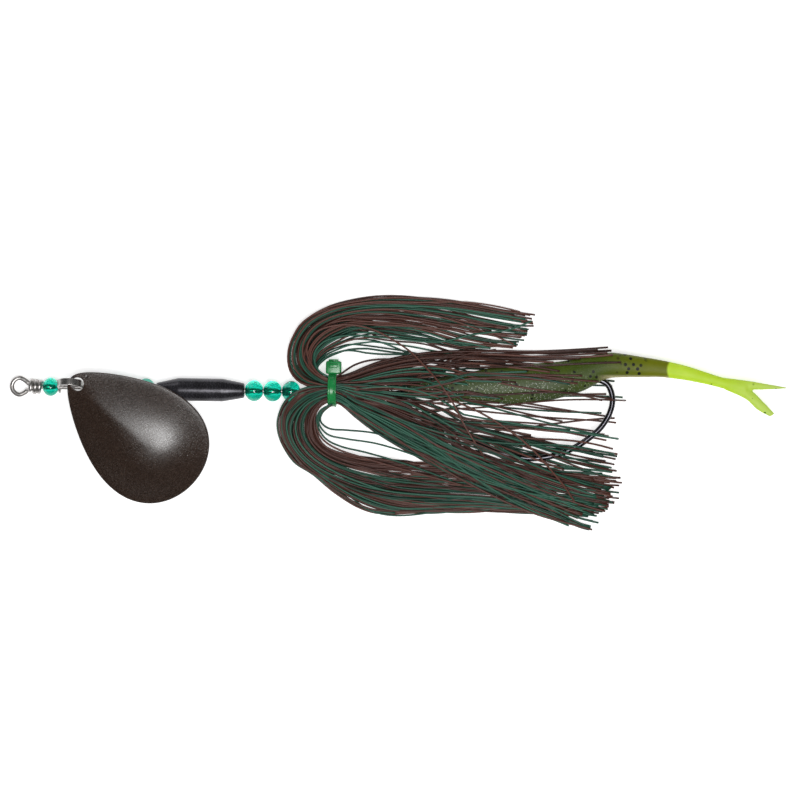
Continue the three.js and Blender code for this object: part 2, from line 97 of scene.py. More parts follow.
def keep_rest(mesh):
    """Stores where each vertex is at rest, so that patterns stay on the surface when a piece bends."""
    place = np.empty(len(mesh.vertices) * 3, np.float32)
    mesh.vertices.foreach_get("co", place)
    rest = mesh.attributes.get("rest") or mesh.attributes.new("rest", "FLOAT_VECTOR", "POINT")
    rest.data.foreach_set("vector", place)


def make_object(name, verts, faces, material, body=None, nodes=()):
    """A mesh from lure coordinates in mm, with a material from MATERIALS, riding on a body."""
    mesh = bpy.data.meshes.new(name)
    faces = faces_out(verts, [[int(i) for i in f] for f in faces])
    mesh.from_pydata(row(verts).tolist(), [], faces)
    mesh.polygons.foreach_set("use_smooth", [True] * len(mesh.polygons))
    mesh.materials.append(MATERIALS[material])
    mesh.update()
    keep_rest(mesh)
    obj = bpy.data.objects.new(name, mesh)
    bpy.context.scene.collection.objects.link(obj)
    if body:
        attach(obj, body)
    if nodes:
        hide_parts(*nodes)
    return obj


def shade_by_angle(obj, degrees):
    """Smooth shading that breaks at edges sharper than the angle."""
    obj.data.set_sharp_from_angle(angle=math.radians(degrees))


def apply_modifiers(obj):
    """Replaces the object's mesh with its modified one."""
    graph = bpy.context.evaluated_depsgraph_get()
    mesh = bpy.data.meshes.new_from_object(obj.evaluated_get(graph))
    obj.modifiers.clear()
    obj.data = mesh
    mesh.polygons.foreach_set("use_smooth", [True] * len(mesh.polygons))
    keep_rest(mesh)


def faces_out(verts, faces):
    """Turns all faces round if the closed mesh is inside out."""
    by_size = {}
    for face in faces:
        by_size.setdefault(len(face), []).append(face)
    volume = 0.0
    for group in by_size.values():
        corner = np.asarray(verts, float)[np.array(group)]
        for i in range(1, corner.shape[1] - 1):
            volume += np.sum(corner[:, 0] * np.cross(corner[:, i], corner[:, i + 1]))
    return [face[::-1] for face in faces] if volume < 0 else faces


def catmull(points, count):
    """A smooth curve through the points, sampled at count places evenly spread along it."""
    p = np.asarray(points, float)
    ext = np.vstack([2 * p[0] - p[1], p, 2 * p[-1] - p[-2]])
    fine = []
    for i in range(len(p) - 1):
        a, b, c, d = ext[i], ext[i + 1], ext[i + 2], ext[i + 3]
        t = np.linspace(0, 1, 24, endpoint=False)[:, None]
        square, cube = 2 * a - 5 * b + 4 * c - d, 3 * b - a - 3 * c + d
        fine.append(0.5 * (2 * b + (c - a) * t + square * t**2 + cube * t**3))
    fine = np.vstack(fine + [p[-1:]])
    return resample(fine, count)


def resample(fine, count):
    """The same curve as count points, evenly spread along it."""
    step = np.linalg.norm(np.diff(fine, axis=0), axis=1)
    run = np.concatenate([[0], np.cumsum(step)])
    at = np.linspace(0, run[-1], count)
    return np.stack([np.interp(at, run, fine[:, k]) for k in range(fine.shape[1])], axis=1)


def tubes(paths, radii, sides):
    """Closed tubes along many paths with as many points each."""
    paths = np.asarray(paths, float)
    s, n, _ = paths.shape
    radii = np.broadcast_to(np.asarray(radii, float), (s, n))
    tangent = np.gradient(paths, axis=1)
    tangent /= np.linalg.norm(tangent, axis=2, keepdims=True) + 1e-12
    normal = np.zeros_like(paths)
    start = np.cross(tangent[:, 0], np.array([0.0, 0.0, 1.0]))
    weak = np.linalg.norm(start, axis=1) < 1e-3
    start[weak] = np.array([0.0, 1.0, 0.0])
    normal[:, 0] = start / np.linalg.norm(start, axis=1, keepdims=True)
    for i in range(1, n):
        m = normal[:, i - 1]
        t = tangent[:, i]
        m = m - t * np.sum(m * t, axis=1, keepdims=True)
        normal[:, i] = m / (np.linalg.norm(m, axis=1, keepdims=True) + 1e-12)
    binormal = np.cross(tangent, normal)
    angle = np.arange(sides) * 2 * math.pi / sides
    ring = (
        normal[:, :, None, :] * np.cos(angle)[None, None, :, None]
        + binormal[:, :, None, :] * np.sin(angle)[None, None, :, None]
    )
    verts = paths[:, :, None, :] + ring * radii[:, :, None, None]
    base = (np.arange(s) * n * sides)[:, None, None]
    i = np.arange(n - 1)[None, :, None] * sides
    k = np.arange(sides)[None, None, :]
    k2 = (k + 1) % sides
    this_ring, next_ring = base + i, base + i + sides
    quads = np.stack([this_ring + k, this_ring + k2, next_ring + k2, next_ring + k], axis=-1).reshape(-1, 4)
    caps = []
    for j in range(s):
        first = j * n * sides
        last = first + (n - 1) * sides
        caps.append(list(range(first + sides - 1, first - 1, -1)))
        caps.append(list(range(last, last + sides)))
    return verts.reshape(-1, 3), list(quads) + caps


def lathe(profile, segments):
    """Turned piece about the shaft from (along, radius) points that close on themselves."""
    verts, faces = [], []
    n = len(profile)
    for i in range(segments):
        a = 2 * math.pi * i / segments
        verts += [(x, r * math.cos(a), r * math.sin(a)) for x, r in profile]
    for i in range(segments):
        j = (i + 1) % segments
        for k in range(n):
            m = (k + 1) % n
            faces.append((i * n + k, j * n + k, j * n + m, i * n + m))
    return shaft_frame(verts), faces


def rounded(profile, radius, steps=4):
    """Rounds the corners of a closed profile."""
    out = []
    n = len(profile)
    for i in range(n):
        a, b, c = (np.array(profile[(i + d) % n], float) for d in (-1, 0, 1))
        r = min(radius, 0.45 * np.linalg.norm(a - b), 0.45 * np.linalg.norm(c - b))
        p = b + (a - b) / np.linalg.norm(a - b) * r
        q = b + (c - b) / np.linalg.norm(c - b) * r
        for t in np.linspace(0, 1, steps + 1):
            out.append(tuple((1 - t) ** 2 * p + 2 * t * (1 - t) * b + t * t * q))
    return out


def joined(parts):
    """One list of vertices and one of faces from several closed parts."""
    faces, base = [], 0
    for part_verts, part_faces in parts:
        faces += [[i + base for i in face] for face in part_faces]
        base += len(part_verts)
    return np.vstack([part_verts for part_verts, _ in parts]), faces


# ---- Materials ----


def srgb(r, g, b):
    """A display colour in 0 to 255 as the linear one that nodes take."""

    def lin(v):
        v /= 255
        return ((v + 0.055) / 1.055) ** 2.4 if v > 0.04045 else v / 12.92
    return (lin(r), lin(g), lin(b), 1.0)


class Shader:
    """A Principled material and short calls for the nodes around it."""

    def __init__(self, name, **values):
        self.material = bpy.data.materials.new(name)
        self.material.use_nodes = True
        self.tree = self.material.node_tree
        self.bsdf = self.tree.nodes["Principled BSDF"]
        self.coords = self.node("ShaderNodeAttribute", attribute_name="rest").outputs["Vector"]
        for key, value in values.items():
            self.bsdf.inputs[key.replace("_", " ")].default_value = value

    def node(self, kind, links=None, **settings):
        n = self.tree.nodes.new(kind)
        for key, value in settings.items():
            setattr(n, key, value)
        for key, value in (links or {}).items():
            if isinstance(value, bpy.types.NodeSocket):
                self.tree.links.new(value, n.inputs[key])
            else:
                n.inputs[key].default_value = value
        return n

    def link(self, socket, name):
        self.tree.links.new(socket, self.bsdf.inputs[name])

    def tint(self, socket):
        self.link(socket, "Base Color")

    def noise(self, scale, detail=3):
        n = self.node("ShaderNodeTexNoise", {"Vector": self.coords, "Scale": scale, "Detail": detail})
        return n.outputs["Fac"]

    def cells(self, scale):
        """The distance from the nearest cell's middle, and two random values that the whole cell shares."""
        n = self.node("ShaderNodeTexVoronoi", {"Vector": self.coords, "Scale": scale})
        parts = self.node("ShaderNodeSeparateColor", {"Color": n.outputs["Color"]})
        return n.outputs["Distance"], parts.outputs["Red"], parts.outputs["Green"]

    def span(self, value, low, high, to_low=0.0, to_high=1.0):
        """Runs from to_low to to_high while the value runs from low to high, and is level beyond."""
        n = self.node("ShaderNodeMapRange", {0: value, 1: low, 2: high, 3: to_low, 4: to_high})
        return n.outputs[0]

    def mix(self, fac, a, b):
        """From colour a to colour b as fac runs from 0 to 1."""
        return self.node("ShaderNodeMix", {0: fac, 6: a, 7: b}, data_type="RGBA").outputs[2]

    def patches(self, scale, detail, low, high, a, b):
        """Soft patches of two colours."""
        return self.mix(self.span(self.noise(scale, detail), low, high), a, b)

    def worn(self, scale, low, high):
        """Lets the roughness wander between two values."""
        self.link(self.span(self.noise(scale, 2), 0.3, 0.7, low, high), "Roughness")

    def math(self, operation, a, b=0.0):
        return self.node("ShaderNodeMath", {0: a, 1: b}, operation=operation).outputs[0]

    def times(self, a, b):
        return self.math("MULTIPLY", a, b)

    def bump(self, height, strength, distance):
        n = self.node("ShaderNodeBump", {"Height": height, "Strength": strength, "Distance": distance})
        self.link(n.outputs["Normal"], "Normal")


def wire_material():
    s = Shader("drawn_wire", Metallic=1.0, Roughness=0.33)
    s.tint(s.patches(900, 4, 0.35, 0.7, srgb(158, 154, 151), srgb(200, 197, 195)))
    s.worn(2600, 0.28, 0.4)
    s.bump(s.noise(5200, 2), 0.12, 0.00004)
    return s.material


def clevis_material():
    s = Shader("bright_strip", Metallic=1.0, Roughness=0.3)
    s.tint(s.patches(700, 3, 0.3, 0.75, srgb(158, 155, 152), srgb(196, 194, 191)))
    s.worn(3000, 0.24, 0.38)
    s.bump(s.noise(2400, 3), 0.1, 0.00004)
    return s.material


def bead_material():
    s = Shader("emerald_glass", Roughness=0.03, IOR=1.5, Transmission_Weight=0.9, Specular_IOR_Level=0.6)
    s.tint(s.patches(420, 2, 0.3, 0.7, srgb(4, 186, 158), srgb(28, 208, 180)))
    s.bump(s.noise(300, 2), 0.02, 0.00003)
    return s.material


def blade_material():
    s = Shader("powder_coat", Metallic=0.0, Roughness=0.3, IOR=1.5, Specular_IOR_Level=0.85)
    _, grain, _ = s.cells(3600)
    base = s.patches(70, 4, 0.3, 0.7, srgb(36, 22, 13), srgb(43, 27, 17))
    base = s.mix(s.span(grain, 0.55, 1.0, 0.0, 0.5), base, srgb(76, 56, 43))
    # Small pits, dented by the bump below and also painted dark brown: the dark colour in them is painted
    # shade.
    pit_distance, _, pit_pick = s.cells(210)
    shaded_pits = s.times(s.span(pit_distance, 0.13, 0.08), s.span(pit_pick, 0.93, 0.94))
    s.tint(s.mix(shaded_pits, base, srgb(22, 15, 11)))
    s.link(s.span(grain, 0.0, 1.0, 0.24, 0.36), "Roughness")
    peel = s.math("ADD", s.times(s.noise(1500, 2), 0.5), s.times(grain, 0.5))
    s.bump(s.math("SUBTRACT", peel, s.times(shaded_pits, 2.0)), 0.45, 0.00006)
    return s.material


def body_material():
    s = Shader("black_satin", Metallic=0.6, Roughness=0.26)
    s.tint(s.patches(260, 4, 0.3, 0.7, srgb(48, 47, 51), srgb(68, 67, 72)))
    s.worn(1800, 0.2, 0.32)
    turned = s.node("ShaderNodeTexWave", {"Vector": s.coords, "Scale": 700.0, "Distortion": 0.6})
    height = s.math("ADD", s.times(turned.outputs["Fac"], 0.4), s.noise(1400, 2))
    s.bump(height, 0.12, 0.00002)
    return s.material


def tie_material():
    s = Shader("green_nylon", Roughness=0.24, Subsurface_Weight=0.12)
    s.bsdf.inputs["Subsurface Radius"].default_value = (0.0006, 0.0012, 0.0008)
    s.tint(s.patches(300, 3, 0.3, 0.7, srgb(22, 128, 62), srgb(40, 152, 82)))
    s.worn(1200, 0.18, 0.3)
    s.bump(s.noise(1500, 2), 0.15, 0.00006)
    return s.material


def strand_material(name, dark, light, fleck):
    s = Shader(name, Roughness=0.42, Specular_IOR_Level=0.34)
    tone = s.node("ShaderNodeAttribute", attribute_name="tone").outputs["Fac"]
    color = s.mix(tone, dark, light)
    mottling = s.span(s.noise(1500, 3), 0.55, 0.8)
    s.tint(s.mix(mottling, color, fleck))
    s.worn(2400, 0.34, 0.52)
    s.bump(s.noise(3600, 2), 0.25, 0.00006)
    return s.material


def hook_material():
    s = Shader("black_nickel", Metallic=1.0, Roughness=0.2)
    s.tint(s.patches(500, 4, 0.3, 0.75, srgb(52, 52, 56), srgb(84, 83, 88)))
    s.worn(2200, 0.14, 0.28)
    s.bump(s.noise(3200, 2), 0.08, 0.00004)
    return s.material


def trailer_material():
    """Olive with flakes, paler at its thin root, and dipped in lime from there to the tip."""
    s = Shader("soft_plastic", Roughness=0.46, Specular_IOR_Level=0.24)
    s.bsdf.inputs["Subsurface Weight"].default_value = 0.2
    s.bsdf.inputs["Subsurface Radius"].default_value = (0.0016, 0.002, 0.0006)
    place = s.node("ShaderNodeSeparateXYZ", {"Vector": s.coords})

    def along(low, high):
        return s.span(place.outputs["X"], float(row([low, 0, 0])[0]), float(row([high, 0, 0])[0]))

    def across(low, high):
        return s.span(place.outputs["Y"], float(row([0, low, 0])[1]), float(row([0, high, 0])[1]))

    olive = s.patches(120, 4, 0.3, 0.7, srgb(60, 78, 22), srgb(82, 98, 26))
    olive = s.mix(across(8, 13), olive, srgb(74, 92, 22))
    belly = s.times(across(9, 4), along(200, 186))
    glint_distance, glint_pick, _ = s.cells(2100)
    glints = s.times(s.span(glint_pick, 0.52, 0.56), s.span(glint_distance, 0.34, 0.28))
    glints = s.times(glints, s.math("ADD", s.times(belly, 0.9), 0.08))
    olive = s.mix(s.times(belly, 0.55), olive, srgb(72, 84, 62))
    olive = s.mix(glints, olive, srgb(186, 190, 176))

    flake_distance, _, flake_pick = s.cells(620)
    pepper = s.times(s.span(flake_pick, 0.8, 0.82), s.span(flake_distance, 0.36, 0.3))
    olive = s.mix(pepper, olive, srgb(20, 24, 14))
    olive = s.mix(s.times(along(197, 214), 0.85), olive, srgb(122, 128, 14))
    seam = s.times(across(7.9, 7.1), along(196, 201))
    olive = s.mix(s.times(seam, 0.8), olive, srgb(206, 196, 150))
    cluster = s.times(s.span(flake_pick, 0.5, 0.52), s.span(flake_distance, 0.4, 0.34))
    cluster = s.times(cluster, s.times(along(203, 206), along(214, 211)))
    olive = s.mix(cluster, olive, srgb(14, 16, 8))

    lime = s.patches(150, 3, 0.3, 0.7, srgb(200, 236, 50), srgb(212, 246, 72))
    lime = s.mix(along(240, 262), lime, srgb(206, 232, 120))
    specks = s.times(s.span(flake_pick, 0.955, 0.965), s.span(flake_distance, 0.3, 0.24))
    lime = s.mix(specks, lime, srgb(96, 140, 20))
    # The edge of the dip bows forward away from the middle of the tail.
    off_middle = s.math("SUBTRACT", place.outputs["Y"], float(row([0, 9.8, 0])[1]))
    bow = s.times(s.times(off_middle, off_middle), -110.0)
    edge, wet = row([[219.7, 0, 0], [220.4, 0, 0]])[:, 0]
    dip = s.span(s.math("ADD", place.outputs["X"], bow), float(edge), float(wet))
    s.tint(s.mix(dip, olive, lime))
    s.worn(900, 0.4, 0.54)
    s.bump(s.noise(1100, 3), 0.2, 0.00006)
    return s.material


MATERIALS = {
    "wire": wire_material(),
    "clevis": clevis_material(),
    "bead": bead_material(),
    "blade": blade_material(),
    "body": body_material(),
    "tie": tie_material(),
    "brown": strand_material("silicone_brown", srgb(62, 35, 29), srgb(108, 70, 60), srgb(82, 50, 43)),
    "green": strand_material("silicone_green", srgb(20, 56, 44), srgb(56, 108, 88), srgb(36, 76, 61)),
    "hook": hook_material(),
    "trailer": trailer_material(),
}

# ---- Shaft, beads, weight ----

LOOP_R = 2.85
EYE_LIFT = 0.175  # how far the loop climbs over itself on each half
WRAP_R = (2.1, 1.62)
WRAP_PITCH = 1.45
WRAP_TURNS = 2.35
FRONT_EYE_X = 0.0
REAR_EYE_X = 123.5
BEAD_BORE_R = 1.02
BODY_BORE_R = 1.05
SMALL_BEAD = (3.15, 5.0)  # radius and length
LARGE_BEAD = (3.6, 6.0)
FRONT_BEAD_X = 10.4
MID_BEADS_X = (30.4, 36.7, 43.0)
REAR_BEADS_X = (79.9, 86.2, 92.5)


def wire_eye(centre, outward):
    """The wire from the shaft round the eye, across itself and into its wraps. The eye faces -1 or +1."""
    neck = math.radians(38)
    points = [(4.6, 0, 0), (3.4, -0.55, -0.12)]
    for a in np.linspace(-neck, -2 * math.pi + neck, 30):
        pinch = max(math.cos(a), 0.0)
        x = LOOP_R * math.cos(a) * (1 + 0.16 * pinch)
        y = LOOP_R * math.sin(a) * (1 - 0.3 * pinch)
        points.append((x, y, EYE_LIFT * (a + neck) / (neck - math.pi)))
    start = math.radians(62)
    for t in np.linspace(0, 1, 60):
        a = start + t * WRAP_TURNS * 2 * math.pi
        reach = WRAP_R[0] + (WRAP_R[1] - WRAP_R[0]) * t
        points.append((3.7 + t * WRAP_TURNS * WRAP_PITCH, reach * math.cos(a), reach * math.sin(a)))
    p = np.array(points)
    return np.stack([centre - outward * p[:, 0], outward * p[:, 1], p[:, 2]], axis=1)


def build_shaft():
    front = wire_eye(FRONT_EYE_X, -1)
    rear = wire_eye(REAR_EYE_X, 1)
    straight = [(x, 0, 0) for x in np.linspace(REAR_EYE_X - 8, 8, 12)]
    path = catmull(np.vstack([rear[::-1], straight, front]), 900)
    verts, faces = tubes(shaft_frame(path)[None], WIRE_R, 20)
    make_object("shaft_wire", verts, faces, "wire", "shaft", ["wire_shaft"])


def build_bead(name, body, x, radius, length):
    """A round bead, flattened a little at the ends, with a rounded mouth at each end of its bore."""
    mouth = BEAD_BORE_R + 0.3
    squash = length / 2 / math.sqrt(1 - (mouth / radius) ** 2)
    start = math.asin(mouth / radius)
    side = np.linspace(start, math.pi - start, 26)
    profile = [(x - squash * math.cos(a), radius * math.sin(a)) for a in side]
    inset = length / 2 - 0.12
    profile += [(x + inset, BEAD_BORE_R), (x, BEAD_BORE_R), (x - inset, BEAD_BORE_R)]
    verts, faces = lathe(profile, 56)
    make_object("glass_" + name, verts, faces, "bead", body, [name])


def build_weight():
    """A short cylinder with a cone at each end, as (along, radius), and a bore."""
    profile = [(46.5, 2.1), (54.1, 3.9), (69.2, 3.9), (76.6, 2.5), (76.6, BODY_BORE_R), (46.5, BODY_BORE_R)]
    profile = rounded(profile, 0.55, 5)
    verts, faces = lathe(profile, 96)
    make_object("weight_black", verts, faces, "body", "body", ["body_weight"])


# ---- Clevis and blade ----

CLEVIS_X = 17.45
CLEVIS_H = 5.4
CLEVIS_R = 3.9
CLEVIS_T = 0.7
CLEVIS_W = 2.3
CLEVIS_ROLL = math.radians(12)
EAR_R = 2.1
EAR_HOLE_R = 1.1


def arc(radius, start, end, count=24):
    """Points on an arc about the origin."""
    return [(radius * math.cos(a), radius * math.sin(a)) for a in np.linspace(start, end, count)]


def clevis_blank():
    """The strip before it is bent: a flat outline with two round ears, each with its hole."""
    reach = CLEVIS_H + math.pi * CLEVIS_R / 2
    corner = math.pi - math.asin(CLEVIS_W / 2 / EAR_R)
    outline = [(reach + x, y) for x, y in arc(EAR_R, -corner, corner)]
    outline += [(-reach - x, y) for x, y in arc(EAR_R, corner, -corner)]
    hole = arc(EAR_HOLE_R, 0, 2 * math.pi, 25)[:-1]
    holes = [[(side * reach + x, y) for x, y in hole] for side in (-1, 1)]
    curve = bpy.data.curves.new("clevis_blank", "CURVE")
    curve.dimensions = "2D"
    curve.fill_mode = "BOTH"
    curve.bevel_depth = 0.16
    curve.bevel_resolution = 2
    curve.extrude = CLEVIS_T / 2 - curve.bevel_depth
    curve.offset = -curve.bevel_depth
    for loop in [outline] + holes:
        spline = curve.splines.new("POLY")
        spline.points.add(len(loop) - 1)
        spline.use_cyclic_u = True
        for point, (u, v) in zip(spline.points, loop):
            point.co = (u, v, 0, 1)
    return curve


def build_clevis():
    """The strip bent over the blade's edge, with both ears on the wire."""
    curve = clevis_blank()
    holder = bpy.data.objects.new("clevis_blank", curve)
    bpy.context.scene.collection.objects.link(holder)
    mesh = bpy.data.meshes.new_from_object(holder)
    bpy.data.objects.remove(holder)
    bm = bmesh.new()
    bm.from_mesh(mesh)
    bmesh.ops.remove_doubles(bm, verts=bm.verts, dist=1e-4)
    half_bend = math.pi * CLEVIS_R / 2
    for u in np.linspace(-half_bend, half_bend, 33):
        everything = bm.verts[:] + bm.edges[:] + bm.faces[:]
        bmesh.ops.bisect_plane(bm, geom=everything, plane_co=(u, 0, 0), plane_no=(1, 0, 0))
    verts = []
    for v in bm.verts:
        u, across, lift = v.co
        if abs(u) <= half_bend:
            x = (CLEVIS_R + lift) * math.sin(u / CLEVIS_R)
            z = CLEVIS_H + (CLEVIS_R + lift) * math.cos(u / CLEVIS_R)
        else:
            x = math.copysign(CLEVIS_R + lift, u)
            z = CLEVIS_H + half_bend - abs(u)
        y = across * math.cos(CLEVIS_ROLL) + z * math.sin(CLEVIS_ROLL)
        z = z * math.cos(CLEVIS_ROLL) - across * math.sin(CLEVIS_ROLL)
        verts.append((CLEVIS_X + x, y, z))
    faces = [[v.index for v in f.verts] for f in bm.faces]
    bm.free()
    verts = shaft_frame(verts)
    obj = make_object("clevis_strip", verts, faces, "clevis", "clevis", ["clevis"])
    shade_by_angle(obj, 40)


BLADE_T = 0.8
BLADE_FRONT = -3.2
BLADE_TIP = 52.0
BLADE_HALF_WIDTH = 19.8
BLADE_DOME = 5.6
BLADE_RIDGE = 0.22
BLADE_HOLE_R = 2.1
BLADE_YAW = math.radians(-40.5)
BLADE_ROLL = math.radians(12.1)
BLADE_CENTRE = 33.0
BLADE_X = 20.2


def blade_outline(a):
    """The teardrop's edge at an angle that runs from the narrow end, 0, to the wide one, pi."""
    along = (1 - np.cos(a)) / 2
    taper = 0.52 + along - 0.24 * along**2
    x = BLADE_FRONT + (BLADE_TIP - BLADE_FRONT) * along
    return np.stack([x, BLADE_HALF_WIDTH * np.sin(a) * taper], axis=-1)


def blade_dome(x, y):
    """Height of the blade's middle surface over its own plane, level with the hole."""
    edge = blade_outline(np.linspace(-math.pi, math.pi, 721))
    edge_angle = np.unwrap(np.arctan2(edge[:, 1], edge[:, 0] - BLADE_CENTRE))
    edge_reach = np.hypot(edge[:, 0] - BLADE_CENTRE, edge[:, 1])
    order = np.argsort(edge_angle)
    angle = np.arctan2(y, x - BLADE_CENTRE)
    reach = np.interp(angle, edge_angle[order], edge_reach[order], period=2 * math.pi)
    rho = np.clip(np.hypot(x - BLADE_CENTRE, y) / reach, 0, 1)
    hole_rho = BLADE_CENTRE / (BLADE_CENTRE - BLADE_FRONT)
    dome = BLADE_DOME * ((1 - rho**2) ** 1.25 - (1 - hole_rho**2) ** 1.25)
    # A faint ridge runs back from the hole and fades out.
    fade = np.clip((x - 2.6) / 5, 0, 1) * np.clip((22 - x) / 14, 0, 1)
    ridge = BLADE_RIDGE * np.exp(-((y / 2.0) ** 2)) * fade
    return dome + ridge


def build_blade():
    rays, rings, rim = 360, 56, 5
    angle = np.linspace(0, 2 * math.pi, 1440, endpoint=False)
    edge = resample(np.vstack([blade_outline(angle), blade_outline(angle[:1])]), rays + 1)[:-1]
    hole_angle = np.arctan2(edge[:, 1], edge[:, 0])
    hole = BLADE_HOLE_R * np.stack([np.cos(hole_angle), np.sin(hole_angle)], axis=1)
    round_r = BLADE_T / 2
    # Each ray runs out over the top, round the rim, back under and up through the hole's edge.
    turn = np.linspace(0, math.pi, 2 * rim + 1)[1:-1]
    spread = np.linspace(0, 1, rings)
    steps = [(s, 0.0, round_r) for s in spread]
    steps += [(1.0, round_r * math.sin(a), round_r * math.cos(a)) for a in turn]
    steps += [(s, 0.0, -round_r) for s in spread[::-1]]
    steps += [(0.0, -0.6 * round_r * math.sin(a), -round_r * math.cos(a)) for a in turn]
    inner = hole * (1 + 0.35 / BLADE_HOLE_R)
    out = (edge - inner) / np.linalg.norm(edge - inner, axis=1, keepdims=True)
    outer = edge - out * round_r
    verts = []
    for s, push, lift in steps:
        place = inner + (outer - inner) * s + out * push
        height = blade_dome(place[:, 0], place[:, 1]) + lift
        verts.append(np.column_stack([place, height]))
    n = len(steps)
    verts = np.stack(verts, axis=1).reshape(-1, 3)
    i, k = np.meshgrid(np.arange(rays), np.arange(n), indexing="ij")
    j, m = (i + 1) % rays, (k + 1) % n
    faces = np.stack([i * n + k, j * n + k, j * n + m, i * n + m], axis=-1).reshape(-1, 4)
    turned = np.array(Matrix.Rotation(BLADE_YAW, 3, "Z")) @ verts.T
    turned = (np.array(Matrix.Rotation(BLADE_ROLL, 3, "X")) @ turned).T
    hinge = np.array([BLADE_X, CLEVIS_H * math.sin(CLEVIS_ROLL), CLEVIS_H * math.cos(CLEVIS_ROLL)])
    verts = shaft_frame(turned + hinge)
    make_object("blade_coated", verts, faces, "blade", "blade", ["blade"])


# ---- Cable tie ----

TIE_INNER_R = 4.8
TIE_T = 1.1
TIE_HALF_W = 1.4


def soft_box(centre, size, radius):
    """A box with rounded edges, as vertices and faces in shaft coordinates."""
    bm = bmesh.new()
    bmesh.ops.create_cube(bm, size=1.0)
    bmesh.ops.scale(bm, vec=size, verts=bm.verts)
    bmesh.ops.bevel(bm, geom=bm.edges[:], offset=radius, segments=4, profile=0.5, affect="EDGES")
    bmesh.ops.translate(bm, vec=centre, verts=bm.verts)
    verts = [tuple(v.co) for v in bm.verts]
    faces = [[v.index for v in f.verts] for f in bm.faces]
    bm.free()
    return verts, faces


def build_tie():
    """A ridged strap round the waist, its head on the +y side, and the strap's cut-off end by the head."""
    x, inner, thick, half = WAIST[0], TIE_INNER_R, TIE_T, TIE_HALF_W
    strap = [
        (x - half, inner), (x - half, inner + thick), (x - half + 0.45, inner + thick),
        (x - half + 0.7, inner + thick - 0.2), (x + half - 0.7, inner + thick - 0.2),
        (x + half - 0.45, inner + thick), (x + half, inner + thick), (x + half, inner),
    ]
    parts = [lathe(rounded(strap, 0.18, 3), 120)]
    boxes = [
        ((x + 0.3, inner + 2.8, 0), (5.2, 4.4, 4.9), 0.55),
        ((x + 0.2, inner + 3.4, 2.6), (3.0, 1.3, 1.4), 0.3),
        ((x + 0.2, inner + 5.1, 0.3), (3.4, 1.0, 1.5), 0.25),
    ]
    for centre, size, radius in boxes:
        verts, faces = soft_box(centre, size, radius)
        parts.append((shaft_frame(verts), faces))
    verts, faces = joined(parts)
    verts = verts + np.array([0, WAIST_Y, 0])
    obj = make_object("tie_nylon", verts, faces, "tie", "shaft", ["cable_tie"])
    shade_by_angle(obj, 50)


# ---- Hook and trailer ----

HOOK_YAW = math.radians(5.4)
HOOK_R = 1.0
HOOK_RING_R = 2.45
HOOK_PATH = [
    (5.2, 0), (20, 0), (34, 0), (60, 0), (68, -0.2), (73, -2.2), (74.6, -7), (73.4, -12), (70, -16.8),
    (65, -20.6), (59, -23.6), (52, -25.4), (44, -25.4), (34, -22.4), (20, -15.4),
]
TRAILER_UPPER = [
    (130.7, 1.0), (132.5, 2.6), (139.7, 4.9), (148, 6.6), (156, 8.4), (164, 9.9), (174, 11.0),
    (184, 12.0), (194, 14.2), (200, 15.3), (205, 15.0), (212, 14.0), (218, 13.1), (226, 11.5),
    (234, 9.1), (240, 7.4), (247, 6.4),
]
TRAILER_LOWER = [
    (130.7, 0.8), (132.5, -0.6), (139.7, -1.8), (148, -2.4), (156, -2.7), (164, -2.9), (174, -2.6),
    (184, -0.5), (192, 2.2), (199.5, 6.2), (205, 6.9), (212, 7.1), (218, 7.2), (226, 6.4),
    (234, 5.0), (240, 3.6), (247, 2.0),
]
TRAILER_HALF = [1.6, 2.6, 3.9, 4.6, 4.8, 4.8, 4.7, 4.5, 4.0, 3.4, 2.9, 2.2, 1.6, 1.4, 1.4, 1.3, 1.2]
# Each prong of the fork: its upper edge, its lower edge and its half thickness at those points.
UPPER_PRONG = (
    [(240, 7.5), (248, 6.6), (254, 5.7), (261, 4.6)],
    [(240, 4.4), (248, 3.7), (254, 3.7), (261, 4.2)],
    [1.1, 1.0, 0.8, 0.55],
)
LOWER_PRONG = (
    [(240, 6.2), (248, 3.9), (253, -0.4), (257, -4.4)],
    [(240, 3.4), (247, 0.3), (251, -3.2), (255.4, -5.5)],
    [1.1, 1.0, 0.9, 0.75],
)


def hook_frame(points):
    """Points given from the hook's ring, along its shank, to lure coordinates."""
    p = np.asarray(points, float)
    c, s = math.cos(HOOK_YAW), math.sin(HOOK_YAW)
    return HOOK_PIVOT + np.stack([p[:, 0] * c - p[:, 1] * s, p[:, 0] * s + p[:, 1] * c, p[:, 2]], axis=1)


HOOK_WIRE = hook_frame(catmull([(x, y, 0) for x, y in HOOK_PATH], 240))


def build_hook():
    """The wire round its ring, down the shank and the bend to the point, and the barb beside the point."""
    ring = [(x, 0, z) for x, z in arc(HOOK_RING_R, math.radians(26), math.radians(344))]
    shank = [(x, y, 0) for x, y in HOOK_PATH]
    path = catmull(ring + [(3.5, 0, -0.3)] + shank, 420)
    run = np.linspace(0, 1, len(path))
    radii = np.interp(run, [0, 0.1, 0.14, 0.955, 0.992, 1], [0.8, 0.85, HOOK_R, HOOK_R, 0.32, 0.06])
    wire = tubes(hook_frame(path)[None], radii[None], 20)
    point, before = np.array(HOOK_PATH[-1]), np.array(HOOK_PATH[-2])
    back = (before - point) / np.linalg.norm(before - point)
    out = np.array([-back[1], back[0]])
    steps = [(8.6, 0.2), (7.0, 1.1), (8.2, 1.1), (11.0, 1.95)]
    barb = [(*(point + back * along + out * off), 0) for along, off in steps]
    barb = catmull(barb, 16)[::-1]
    verts, faces = joined([wire, tubes(hook_frame(barb)[None], np.linspace(0.08, 0.62, 16)[None], 12)])
    make_object("hook_wire", verts, faces, "hook", "hook", ["hook"])


